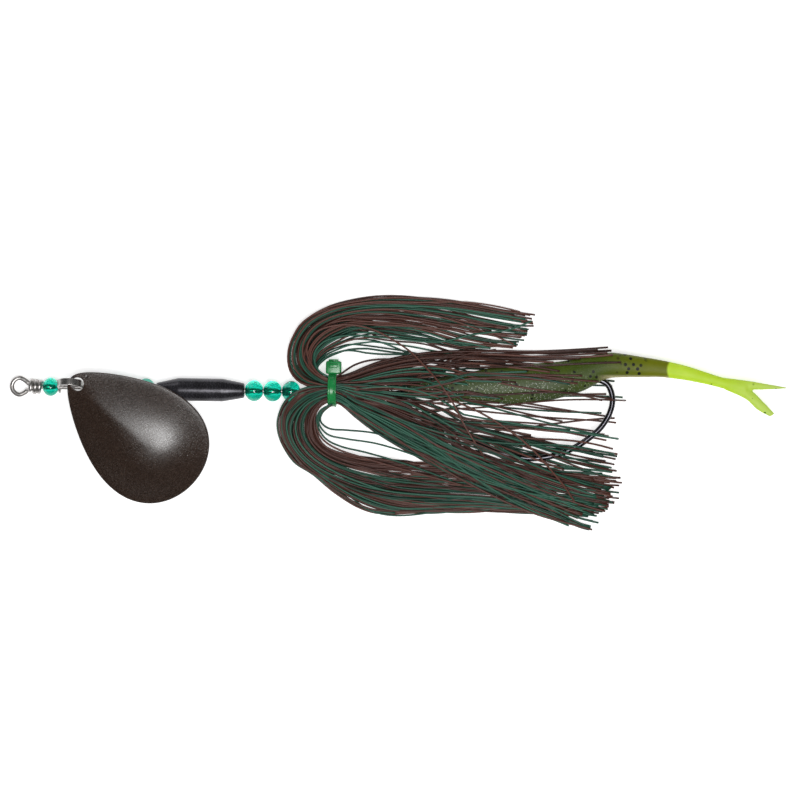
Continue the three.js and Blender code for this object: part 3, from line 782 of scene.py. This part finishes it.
def loft(upper, lower, half, stations, sides, power):
    """A closed body of rounded cross-sections between an upper and a lower edge, on the hook's plane."""
    top = catmull(upper, stations)
    low = catmull(lower, stations)
    thick = catmull(list(enumerate(half)), stations)[:, 1]
    angle = np.linspace(0, 2 * math.pi, sides, endpoint=False)
    c = np.sign(np.cos(angle)) * np.abs(np.cos(angle)) ** power
    s = np.sign(np.sin(angle)) * np.abs(np.sin(angle)) ** power
    middle, reach = (top + low) / 2, (top - low) / 2
    xy = middle[:, None, :] + reach[:, None, :] * c[None, :, None]
    z = HOOK_PIVOT[2] + thick[:, None] * s[None, :]
    verts = np.concatenate([xy, z[..., None]], axis=2).reshape(-1, 3)
    faces = []
    for i in range(stations - 1):
        for k in range(sides):
            m = (k + 1) % sides
            faces.append([i * sides + k, i * sides + m, (i + 1) * sides + m, (i + 1) * sides + k])
    faces.append(list(range(sides))[::-1])
    faces.append([(stations - 1) * sides + k for k in range(sides)])
    return verts, faces


def build_trailer():
    """Body, tail and fork as one soft moulding: the lofts are fused by a remesh and smoothed."""
    body = loft(TRAILER_UPPER, TRAILER_LOWER, TRAILER_HALF, 120, 40, 0.9)
    verts, faces = joined([body, loft(*UPPER_PRONG, 24, 20, 0.8), loft(*LOWER_PRONG, 24, 20, 0.8)])
    obj = make_object("trailer_soft", verts, faces, "trailer")
    remesh = obj.modifiers.new("skin", "REMESH")
    remesh.mode = "VOXEL"
    remesh.voxel_size = 0.38 * MM
    soften = obj.modifiers.new("soften", "SMOOTH")
    soften.factor = 0.5
    soften.iterations = 5
    apply_modifiers(obj)
    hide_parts("trailer_body", "trailer_tail")
    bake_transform(obj)


# ---- Skirt ----

SLOTS = 236
UPPER_SHARE = 0.4
STEPS = 64
STRAND_SIDES = 6
PACK_R = 4.55
SQUEEZED_R = 0.26  # a strand's radius inside the tie

# Guide curves in the plane, from the waist to the tips; the key is the strand's place in its lobe or fan.
UPPER_LOBE = {
    0.0: [(106.6, 2.4), (103.2, 1.9), (97, 2.4), (92.4, 6.4), (91.2, 12.4), (92.6, 18.2), (96.8, 24.4),
          (106.9, 29.7), (122.1, 32.3), (142.6, 32.1), (163, 29.4), (176, 27.6)],
    0.35: [(106.6, 4.2), (104.1, 4.5), (98.6, 6.5), (95.6, 11.5), (96.6, 17.6), (101.4, 23.2),
           (110.5, 27), (124, 28.4), (143, 27), (160, 24), (174, 22)],
    0.7: [(106.6, 4.2), (104.2, 4.1), (100.8, 7.6), (100.3, 12.8), (103.4, 17), (108.6, 20.1), (116, 22),
          (136.3, 21), (153, 17.7), (170, 16.6)],
    1.0: [(106.6, 4.8), (104, 5), (101.5, 7.5), (102.7, 9.2), (105.4, 11.1), (110.7, 12.7),
          (115.9, 12.9), (124.2, 12), (145, 10.5)],
}
LOWER_LOBE = {
    0.0: [(106.6, 1.6), (103.2, 1.8), (96.4, 0.9), (90.8, -3.2), (88.3, -9), (88.4, -14), (90.4, -19),
          (94.2, -24.2), (100.1, -27.9), (107.7, -33.9), (116.4, -38.9), (125.2, -40.8), (140.3, -40.1),
          (152.3, -38.5), (168, -35.5)],
    0.35: [(106.6, -1.2), (104, -1.2), (97.5, -3.2), (92.8, -8), (91.6, -13.5), (94.5, -20), (101, -26),
           (110.5, -31), (122, -35), (138, -37), (158, -37.5), (185, -40), (198, -41)],
    0.7: [(106.6, -2.6), (104.2, -2.6), (99.6, -5), (97, -9.2), (97, -14.4), (100.4, -20), (107, -24.4),
          (117, -27.6), (130, -29.5), (148, -30.5), (170, -32), (190, -34), (205, -35.5)],
    1.0: [(106.6, -4.2), (104.6, -4.2), (101.8, -6.6), (100.8, -10), (101.6, -14.5), (104.5, -18.5),
          (110.5, -20.8), (119, -22), (131, -22.8), (148, -23.4), (170, -25), (190, -27), (206, -28)],
}
FAN = {
    0.0: [(106.6, 5.4), (108, 5.6), (112, 6.4), (122.6, 10.8), (136, 13.8), (150, 15), (170, 15.2),
          (190, 15.8), (212, 17.2)],
    0.15: [(106.6, 4.2), (108, 4.4), (112, 5), (123, 8.6), (137, 11.6), (150, 12.6), (170, 12.6),
           (190, 13.2), (211, 13.6)],
    0.3: [(106.6, 2.6), (108, 2.6), (112, 3), (123, 4.6), (137, 5.8), (150, 6.4), (170, 5.6), (190, 4),
          (209, 3)],
    0.5: [(106.6, 0), (108, 0), (112, -0.4), (123, -2.8), (137, -6), (150, -8), (170, -10.5), (190, -13),
          (206, -15)],
    0.7: [(106.6, -2.2), (108, -2.2), (112, -3.2), (123, -8), (137, -14), (150, -18.5), (170, -23),
          (190, -27), (206, -30)],
    0.85: [(106.6, -3.8), (108, -3.8), (112, -5), (123, -11.2), (137, -17.8), (150, -23.6), (170, -30.5),
           (190, -35.5), (204, -38.5)],
    1.0: [(106.6, -5.4), (108, -5.4), (112, -6.6), (122, -13.6), (135, -21), (150, -28.2), (170, -36),
          (190, -43.2), (198, -45)],
}
# Single strands that cross the others, by colour: their whole course from the waist.
STRAYS = {
    "brown": [
        [(106.6, 3.6), (101, 7), (97.6, 14), (101, 20.5), (110, 23), (120, 21.5), (131, 15.6),
         (137, 10.2), (143, 3.6), (148, -3.6), (152, -11), (160, -23)],
        [(106.6, 2.4), (112, 2.2), (118, 1), (126, 1.4), (133, 4.4), (140, 8.6), (146, 11.6), (153, 14),
         (162, 15.6)],
        [(106.6, -4.4), (102.8, -7), (101.4, -11.4), (103.6, -16), (109, -19.4), (118, -22.2),
         (132, -26), (152, -31)],
        [(106.6, 4.8), (109, 6), (114, 9.4), (120, 11.2), (128, 11.6), (136, 10.8)],
        [(106.6, 3.8), (101, 6), (96.4, 12), (98, 20), (107, 26), (124, 28.6), (142, 26.6), (158, 21.6),
         (168, 17.6)],
        [(106.6, -3.2), (110, -4.4), (124, -12.4), (140, -22.6), (158, -32.4), (176, -40), (196, -45.2)],
        [(106.6, 1), (112, 0.6), (126, 1.8), (150, -3), (170, -14), (184, -28), (190, -36)],
    ],
    "green": [
        [(106.6, 4.6), (101.6, 7.5), (100.2, 13), (104, 17.4), (112, 19.4), (126, 18.8), (142, 17.8),
         (154, 20.6), (166, 22.4), (174, 25.6)],
        [(106.6, -4.2), (103.4, -7), (102.8, -10), (106, -12.4), (112, -12.8), (121, -13.6),
         (132, -16.6), (146, -21.4)],
        [(106.6, -4), (103, -6.6), (102.2, -10.6), (105.4, -14.4), (112, -15.8), (122, -17.2),
         (134, -20.6), (150, -26.4)],
        [(106.6, -3.8), (102.6, -6.4), (101.6, -10.6), (104.4, -15.6), (110, -18.4), (119, -20.4),
         (132, -24), (148, -29.4)],
        [(106.6, -2.6), (110, -3.4), (124, -9), (140, -17.6), (156, -28.4), (172, -37.6), (188, -44)],
    ],
}
# Top and underside of the strands over the floor against distance from the waist.
LOBE_TOP = ([0, 8, 18, 30, 45, 65, 90, 125], [12.4, 12.2, 10.2, 7.6, 5.8, 4.4, 3.2, 2.2])
LOBE_LOW = ([0, 8, 18, 30], [1.8, 0.9, 0.4, 0.36])
FAN_TOP = ([0, 10, 25, 45, 70, 105], [12.4, 11.8, 9.4, 6.4, 4.6, 3.2])
FAN_LOW = ([0, 10, 25, 45], [1.8, 1.2, 0.6, 0.36])
CEILING = 13.9
SKIN = 0.36  # from a strand's middle to whatever it lies against


def waist_slots():
    """Where each strand passes through the tie: evenly packed (y, z) about the shaft, clear of the wire."""
    i = np.arange(SLOTS)
    r = PACK_R * np.sqrt((i + 0.5) / SLOTS)
    a = i * math.pi * (3 - math.sqrt(5))
    slots = np.stack([WAIST_Y + r * np.cos(a), r * np.sin(a)], axis=1)
    return slots[np.hypot(slots[:, 0], slots[:, 1]) > WIRE_R + 0.3]


class Guides:
    """Curves interpolated across a bundle: place(q, t) for many strands at once."""

    def __init__(self, table):
        self.keys = np.array(list(table))
        fine = [catmull(points, 200) for points in table.values()]
        self.curves = np.stack(fine)
        self.lengths = np.array([np.linalg.norm(np.diff(c, axis=0), axis=1).sum() for c in fine])

    def length(self, q):
        return np.interp(q, self.keys, self.lengths)

    def place(self, q, t):
        q = np.clip(q, self.keys[0], self.keys[-1])
        high = np.clip(np.searchsorted(self.keys, q, side="right"), 1, len(self.keys) - 1)
        f = (q - self.keys[high - 1]) / (self.keys[high] - self.keys[high - 1])
        spot = t * (self.curves.shape[1] - 1)
        i = np.clip(spot.astype(int), 0, self.curves.shape[1] - 2)
        g = (spot - i)[..., None]
        a = self.curves[high - 1, i] * (1 - g) + self.curves[high - 1, i + 1] * g
        b = self.curves[high, i] * (1 - g) + self.curves[high, i + 1] * g
        return a + (b - a) * f[..., None]


def smooth(t):
    """0 to 1 with a level start and end."""
    t = np.clip(t, 0, 1)
    return t * t * (3 - 2 * t)


def plane_paths(guides, q, cut, slots, clumps, ease, cross=0.0):
    """Plane paths of many strands: they leave their slot, follow the guides, stray a little and end early.

    clumps is the number of bunches that stray together, ease scales all the straying, and cross is how
    far each strand moves over its neighbours on the way."""
    count = len(q)
    t = np.linspace(0, 1, STEPS)[None, :] * (1 - cut / guides.length(q))[:, None]
    late = smooth((t - 0.18) / 0.82)
    early = np.sin(math.pi * np.clip(t / 0.45, 0, 1))
    bunch = np.floor(q * clumps + RNG.uniform(-0.35, 0.35, count)).astype(int) + 1
    together = RNG.normal(0, 0.05, clumps + 4)[bunch]
    alone = RNG.normal(0, 0.085, count)
    swap = RNG.normal(0, 0.07, count)
    gather = (np.round(q * clumps) / clumps - q) * 0.5
    q_run = q[:, None] + ease * ((together + alone + gather)[:, None] * late + swap[:, None] * early)
    q_run = q_run + np.reshape(cross, (-1, 1)) * smooth(t)
    xy = guides.place(q_run, t)
    leave = 1 - smooth(t / 0.09)
    xy[..., 1] += (slots[:, :1] - xy[:, :1, 1]) * leave
    phase = RNG.uniform(0, 2 * math.pi, (count, 2))
    speed = RNG.uniform(1.5, 4.5, (count, 2)) * math.pi
    size = np.abs(RNG.normal(0, 0.85, count))
    wave = np.sin(phase[:, None, :] + speed[:, None, :] * t[..., None])
    sway = wave * size[:, None, None] * late[..., None]
    return xy + ease * sway * np.array([0.4, 1.0])


def arc_length(xy):
    step = np.linalg.norm(np.diff(xy, axis=1), axis=2)
    return np.concatenate([np.zeros((len(xy), 1)), np.cumsum(step, axis=1)], axis=1)


def settle(z, floor, ceiling, rounds=200, sag=0.008):
    """Lets strands hang between what holds them up and what holds them down."""
    ceiling = np.maximum(ceiling, floor + 0.02)
    for _ in range(rounds):
        z[:, 1:-1] = 0.5 * (z[:, :-2] + z[:, 2:]) - sag
        z[:, -1] = 2 * z[:, -2] - z[:, -3] - sag
        z[:, 1:] = np.clip(z[:, 1:], floor[:, 1:], ceiling[:, 1:])
    return z


def shaft_height(x):
    """The height of the shaft's middle over the floor, in mm."""
    return WAIST[2] + (x - WAIST[0]) * SHAFT_DIR[2] / SHAFT_DIR[0]


def bar(distance, radius):
    """Half the height of a round bar at a distance across from its middle."""
    return np.sqrt(np.clip((radius + SKIN) ** 2 - distance**2, 0, None))


def obstacles(x, y):
    """Top and underside of the pieces that strands lie against, at points in the plane."""
    middle = shaft_height(x)
    wraps = (x > 112.6) & (x < 119)
    radius = np.where(x < 96.0, LARGE_BEAD[0], np.where(wraps, 2.5, WIRE_R))
    reach = np.where(x < 127, bar(y, radius), 0)
    rear_eye = (np.abs(x - REAR_EYE_X) < 4.2) & (np.abs(y) < 4.1)
    reach = np.where(rear_eye, np.maximum(reach, 1.3), reach)
    top = np.where(reach > 0, middle + reach, 0)
    low = np.where(reach > 0, middle - reach, CEILING)

    pivot = HOOK_PIVOT[2]
    edge = np.array(TRAILER_UPPER)
    high_y = np.interp(x, *edge.T)
    low_y = np.interp(x, *np.array(TRAILER_LOWER).T)
    half = np.interp(x, edge[:, 0], TRAILER_HALF, left=0, right=0)
    across = (y - (high_y + low_y) / 2) / ((high_y - low_y) / 2 + SKIN)
    reach = np.where(np.abs(across) < 1, (half + SKIN) * np.clip(1 - across**2, 0, 1) ** 0.45, 0)
    reach = np.where((np.abs(x - HOOK_PIVOT[0]) < 3.6) & (np.abs(y) < 1.3), np.maximum(reach, 3.7), reach)
    wire = np.min(np.hypot(x[..., None] - HOOK_WIRE[::3, 0], y[..., None] - HOOK_WIRE[::3, 1]), axis=-1)
    reach = np.maximum(reach, bar(wire, HOOK_R))
    top = np.where(reach > 0, np.maximum(top, pivot + reach), top)
    low = np.where(reach > 0, np.minimum(low, pivot - reach), low)
    return top, low


def raised(xy, slots, level, over, top_table, low_table):
    """Adds heights to plane paths: over the obstacles or under them, and within the depth of the bundle."""
    run = arc_length(xy)
    top = np.interp(run, *top_table)
    low = np.interp(run, *low_table)
    place = low + (top - low) * level[:, None]
    start = (WAIST[2] + slots[:, 1])[:, None]
    z = place + (start - place) * (1 - smooth(run / 9))
    hard_top, hard_low = obstacles(xy[..., 0], xy[..., 1])
    stack = 0.45 * np.clip(level - 0.45, 0, 0.5)[:, None]
    rest = low + (place - low) * 0.6
    above = over[:, None]
    floor = np.where(above & (hard_top > 0), np.maximum(hard_top + stack, rest), rest)
    ceiling = np.where(above, CEILING, np.minimum(hard_low, place + 0.8))
    near = run < 5
    floor = np.where(near, z - 0.4, np.minimum(floor, CEILING - 0.1))
    ceiling = np.where(near, z + 0.4, np.maximum(ceiling, 0.38))
    floor = np.where(above, floor, np.minimum(floor, ceiling - 0.02))
    z = settle(np.clip(z, floor, ceiling), floor, ceiling)
    return np.concatenate([xy, z[..., None]], axis=2)


def strand_piece(name, paths, colour, nodes, rides=True):
    """All the strands of one piece as six-sided tubes, each with a tone of its own."""
    count, steps, _ = paths.shape
    run = arc_length(paths)
    radii = STRAND_R * RNG.uniform(0.94, 1.05, (count, 1))
    radii = SQUEEZED_R + (radii - SQUEEZED_R) * smooth((run - 1.4) / 4)
    verts, faces = tubes(paths, radii, STRAND_SIDES)
    body = "shaft" if rides else None
    obj = make_object(name, verts, faces, colour, body, nodes)
    tone = np.repeat(RNG.uniform(0, 1, count), steps * STRAND_SIDES)
    attribute = obj.data.attributes.new("tone", "FLOAT", "POINT")
    attribute.data.foreach_set("value", tone)
    return obj


def ranks(values):
    """Each value's place in order, between 0 and 1."""
    order = np.argsort(np.argsort(values))
    return (order + 0.5) / len(values)


def is_brown(q, table, bunches):
    """Bunches of neighbours share a colour, with a few strands of the other among them."""
    bunch = np.floor(q * bunches).astype(int) + 1
    pick = RNG.uniform(0, 1, bunches + 4)[bunch]
    own = RNG.uniform(0, 1, len(q))
    pick = np.where(RNG.uniform(0, 1, len(q)) < 0.35, own, pick)
    return pick < np.interp(q, *table)


def level_of(slots):
    """0 at the underside of the tied waist, 1 at its top."""
    half = np.sqrt(np.clip(PACK_R**2 - (slots[:, 0] - WAIST_Y) ** 2, 0.4, None))
    return 0.5 + 0.5 * np.clip(slots[:, 1] / half, -1, 1)


def build_lobe(name, table, slots, density, brown_table, nodes):
    """The front halves of the strands on one side, which loop forward and back round the tie."""
    guides = Guides(table)
    side = 1 if name == "upper" else -1
    q = np.interp(ranks(side * slots[:, 0] + RNG.normal(0, 0.4, len(slots))), *density)
    level = level_of(slots)
    cut = np.abs(RNG.normal(0, 6.5, len(q)))
    cut = np.where(RNG.uniform(0, 1, len(q)) < 0.25, cut + RNG.uniform(4, 34, len(q)), cut)
    xy = plane_paths(guides, q, cut, slots, 14, 1.0)
    paths = raised(xy, slots, level, level > 0.42, LOBE_TOP, LOBE_LOW)
    brown = is_brown(q, brown_table, 22)
    strand_piece(f"skirt_{name}_lobe_brown", paths[brown], "brown", nodes[:3])
    strand_piece(f"skirt_{name}_lobe_green", paths[~brown], "green", nodes[3:])


FAN_DENSITY = ([0, 0.05, 0.27, 0.43, 1], [0, 0.1, 0.33, 0.49, 1])
FAN_BROWN = ([0, 0.12, 0.2, 0.45, 0.6, 0.8, 0.93, 1], [0.97, 0.8, 0.5, 0.62, 0.64, 0.7, 0.55, 0.3])
FAN_TIP_X = ([0, 0.15, 0.3, 0.5, 0.7, 0.85, 1], [211, 209, 206, 205, 204.5, 202, 196])


def stray_paths(colour):
    """The single crossing strands of one colour, laid over everything else."""
    xy = np.stack([catmull(points, STEPS) for points in STRAYS[colour]])
    slots = np.stack([xy[:, 0, 1], np.full(len(xy), 3.2)], axis=1)
    return raised(xy, slots, np.ones(len(xy)), np.ones(len(xy), bool), FAN_TOP, FAN_LOW)


def build_fan(slots):
    """The rear halves of all the strands, spread out behind the tie, some over the hook and some under."""
    guides = Guides(FAN)
    q = np.interp(ranks(-slots[:, 0] + RNG.normal(0, 0.35, len(slots))), *FAN_DENSITY)
    level = level_of(slots)
    end_x = np.interp(q, guides.keys, guides.curves[:, -1, 0])
    cut = np.abs(RNG.normal(0, 5.5, len(q))) + np.clip(end_x - np.interp(q, *FAN_TIP_X), 0, None)
    cut = np.where(RNG.uniform(0, 1, len(q)) < 0.14, cut + RNG.uniform(4, 22, len(q)), cut)
    cut = np.where(q <= 0.13, cut + 62 * RNG.uniform(0, 1, len(q)) ** 2.2, cut)
    on_trailer = (q > 0.13) & (q < 0.42)
    cut = np.where(on_trailer, cut + 75 * RNG.uniform(0, 1, len(q)) ** 1.6, cut)
    crossing = (level > 0.62) & (q > 0.42) & (q < 0.78)
    cross = np.where(crossing, RNG.uniform(0.08, 0.36, len(q)), 0)
    drift = RNG.normal(0, 0.12, len(q)) * (RNG.uniform(0, 1, len(q)) < 0.4) * (q > 0.4)
    cross = np.where(crossing, cross, drift)
    xy = plane_paths(guides, q, cut, slots, 20, 0.8, cross)
    over = (q < 0.64) & (level > np.interp(q, [0, 0.13, 0.2, 0.42, 0.64], [0.2, 0.3, 0.5, 0.36, 0.36]))
    paths = raised(xy, slots, level, over, FAN_TOP, FAN_LOW)
    brown = is_brown(q, FAN_BROWN, 40) & ~(crossing & (RNG.uniform(0, 1, len(q)) < 0.45))
    nodes = {"brown": ["skirt_upper_top_outer"], "green": ["skirt_lower_top_outer"]}
    for colour, mask in (("brown", brown), ("green", ~brown)):
        strand_piece(f"skirt_fan_{colour}", paths[mask & ~over], colour, nodes[colour])
        above = np.concatenate([paths[mask & over], stray_paths(colour)])
        piece = strand_piece(f"skirt_over_{colour}", above, colour, [], rides=False)
        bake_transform(piece)


def build_skirt():
    slots = waist_slots()
    order = np.argsort(-slots[:, 0] + RNG.normal(0, 0.5, len(slots)))
    upper_count = int(UPPER_SHARE * len(slots))
    upper, lower = slots[order[:upper_count]], slots[order[upper_count:]]

    def names(side):
        layers, cells = ("top", "bottom"), ("outer", "middle", "inner")
        return [f"skirt_{side}_{layer}_{cell}" for layer in layers for cell in cells]

    build_lobe(
        "upper", UPPER_LOBE, upper, ([0, 0.95, 1], [0, 0.8, 1.0]),
        ([0, 0.4, 0.7, 0.9, 1], [0.72, 0.68, 0.5, 0.25, 0.1]), names("upper"),
    )
    build_lobe(
        "lower", LOWER_LOBE, lower, ([0, 1], [0, 0.97]),
        ([0, 0.25, 0.5, 0.75, 1], [0.75, 0.4, 0.55, 0.75, 0.8]), names("lower"),
    )
    build_fan(slots)


# ---- Floor, lights, camera ----


def build_studio():
    """A bright white floor, a wide lamp overhead and a weak one at the side, both out of sight."""
    centre = Vector((CAD_BOX[0] + CAD_BOX[1]) / 2)
    half = 6.0
    mesh = bpy.data.meshes.new("floor")
    corners = [(x * half, y * half, 0) for x, y in ((-1, -1), (1, -1), (1, 1), (-1, 1))]
    mesh.from_pydata(corners, [], [(0, 1, 2, 3)])
    s = Shader("white_paper", Roughness=0.9, Specular_IOR_Level=0.1, Emission_Strength=0.6)
    s.tint(s.patches(40, 3, 0.3, 0.7, (0.93, 0.93, 0.93, 1), (0.95, 0.95, 0.95, 1)))
    s.bsdf.inputs["Emission Color"].default_value = (1, 1, 1, 1)
    mesh.materials.append(s.material)
    keep_rest(mesh)
    floor = bpy.data.objects.new("floor", mesh)
    bpy.context.scene.collection.objects.link(floor)
    floor.location.z = CAD_BOX[0].z - 0.0001

    def area(name, place, width, power):
        light = bpy.data.lights.new(name, "AREA")
        light.shape = "DISK"
        light.size = width
        light.energy = power
        obj = bpy.data.objects.new(name, light)
        obj.location = centre + Vector(place)
        obj.rotation_euler = (-Vector(place)).to_track_quat("-Z", "Y").to_euler()
        obj.visible_camera = False
        bpy.context.scene.collection.objects.link(obj)

    area("key", (0.04, -0.15, 0.87), 0.46, 5.8)
    area("fill", (-0.5, 0.85, 0.45), 0.5, 0.8)
    world = bpy.data.worlds.new("studio")
    world.use_nodes = True
    world.node_tree.nodes["Background"].inputs["Color"].default_value = (1, 1, 1, 1)
    world.node_tree.nodes["Background"].inputs["Strength"].default_value = 0.07
    bpy.context.scene.world = world
    bpy.context.scene.view_settings.view_transform = "Standard"


def build_camera():
    """Straight down on the lure, which lies across the picture with its tail turned a little down."""
    lens, picture, turn = 180.0, 0.272, math.radians(1.1)
    camera = bpy.data.cameras.new("camera")
    camera.lens = lens
    camera.clip_start = 0.01
    obj = bpy.data.objects.new("camera", camera)
    aim = row([[129.6, -2.2, 7.0]])[0]
    obj.location = (aim[0], aim[1], aim[2] + picture * lens / camera.sensor_width)
    obj.rotation_euler = (0, 0, turn)
    bpy.context.scene.collection.objects.link(obj)
    bpy.context.scene.camera = obj


# ---- Build ----

build_shaft()
build_bead("bead_front", "front_bead", FRONT_BEAD_X, *SMALL_BEAD)
for i, x in enumerate(MID_BEADS_X, 1):
    build_bead(f"bead_mid_{i}", f"mid_bead_{i}", x, *LARGE_BEAD)
for i, x in enumerate(REAR_BEADS_X, 1):
    build_bead(f"bead_rear_{i}", f"rear_bead_{i}", x, *LARGE_BEAD)
build_weight()
build_clevis()
build_blade()
build_tie()
build_hook()
build_trailer()
build_skirt()
build_studio()
build_camera()
